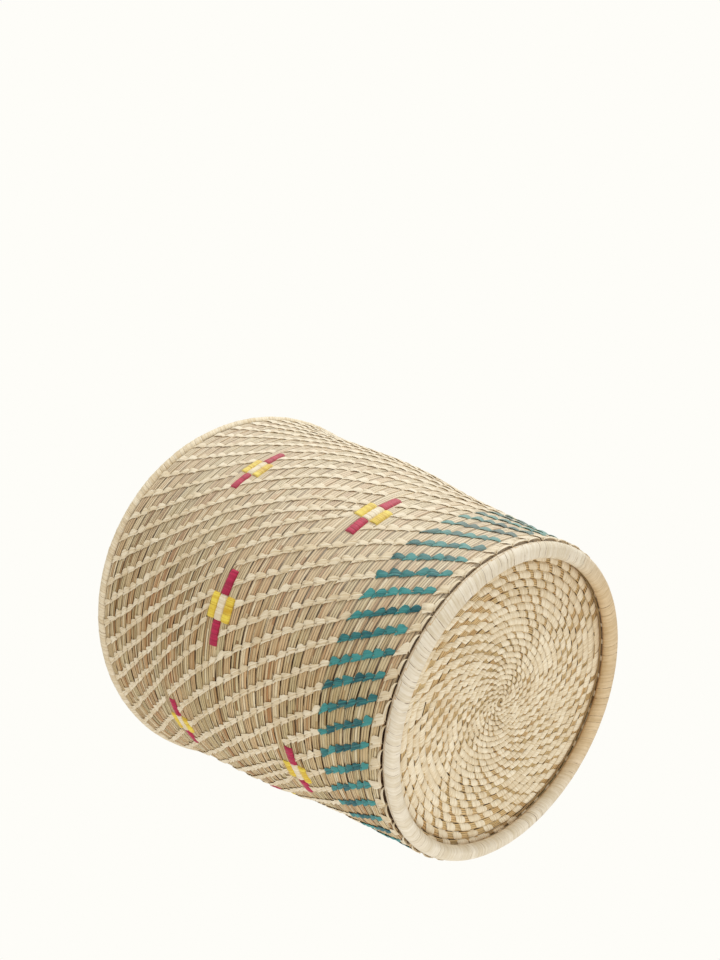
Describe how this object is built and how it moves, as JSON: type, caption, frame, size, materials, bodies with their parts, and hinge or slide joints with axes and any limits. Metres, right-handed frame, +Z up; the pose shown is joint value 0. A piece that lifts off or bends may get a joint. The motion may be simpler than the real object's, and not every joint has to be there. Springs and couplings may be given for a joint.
{
  "type": "woven planter basket",
  "caption": "Coiled grass planter basket: round sewn base on a wrapped foot ring, flaring wall with a teal stitched band and small wrapped motifs, open mouth with a wrapped rim.",
  "frame": {"origin": "centre of the foot ring's underside, on the surface that the basket stands on", "axes": "+Z up the basket's axis towards its open mouth; -Y is the side that the picture shows; +X is to its right when it stands upright"},
  "size_m": [0.262, 0.2754, 0.2585],
  "materials": {
    "coil_straw": "matt dry grass bundle with pale palm sewing",
    "pale_palm": "matt palm strip, closely wrapped",
    "teal_palm": "dyed palm strip, slight sheen",
    "magenta_palm": "dyed palm strip, slight sheen",
    "yellow_palm": "dyed palm strip, slight sheen"
  },
  "bodies": {
    "root": {"base_coil": "coil_straw", "foot_ring": "pale_palm", "wall_foot_course": "coil_straw", "wall_teal_courses": "teal_palm", "wall_lower_courses": "coil_straw", "wall_middle_courses": "coil_straw", "wall_upper_courses": "coil_straw", "wall_flare_courses": "coil_straw", "rim_coil": "pale_palm", "lower_motif_1_bar": "magenta_palm", "lower_motif_1_yellow_above": "yellow_palm", "lower_motif_1_yellow_below": "yellow_palm", "lower_motif_2_bar": "magenta_palm", "lower_motif_2_yellow_above": "yellow_palm", "lower_motif_2_yellow_below": "yellow_palm", "lower_motif_3_bar": "magenta_palm", "lower_motif_3_yellow_above": "yellow_palm", "lower_motif_3_yellow_below": "yellow_palm", "lower_motif_4_bar": "magenta_palm", "lower_motif_4_yellow_above": "yellow_palm", "lower_motif_4_yellow_below": "yellow_palm", "middle_motif_1_bar": "magenta_palm", "middle_motif_1_yellow_above": "yellow_palm", "middle_motif_1_yellow_below": "yellow_palm", "middle_motif_2_bar": "magenta_palm", "middle_motif_2_yellow_above": "yellow_palm", "middle_motif_2_yellow_below": "yellow_palm", "middle_motif_3_bar": "magenta_palm", "middle_motif_3_yellow_above": "yellow_palm", "middle_motif_3_yellow_below": "yellow_palm", "middle_motif_4_bar": "magenta_palm", "middle_motif_4_yellow_above": "yellow_palm", "middle_motif_4_yellow_below": "yellow_palm", "upper_motif_1_bar": "magenta_palm", "upper_motif_1_yellow_above": "yellow_palm", "upper_motif_1_yellow_below": "yellow_palm", "upper_motif_2_bar": "magenta_palm", "upper_motif_2_yellow_above": "yellow_palm", "upper_motif_2_yellow_below": "yellow_palm", "upper_motif_3_bar": "magenta_palm", "upper_motif_3_yellow_above": "yellow_palm", "upper_motif_3_yellow_below": "yellow_palm", "upper_motif_4_bar": "magenta_palm", "upper_motif_4_yellow_above": "yellow_palm", "upper_motif_4_yellow_below": "yellow_palm"}
  },
  "joints": []
}
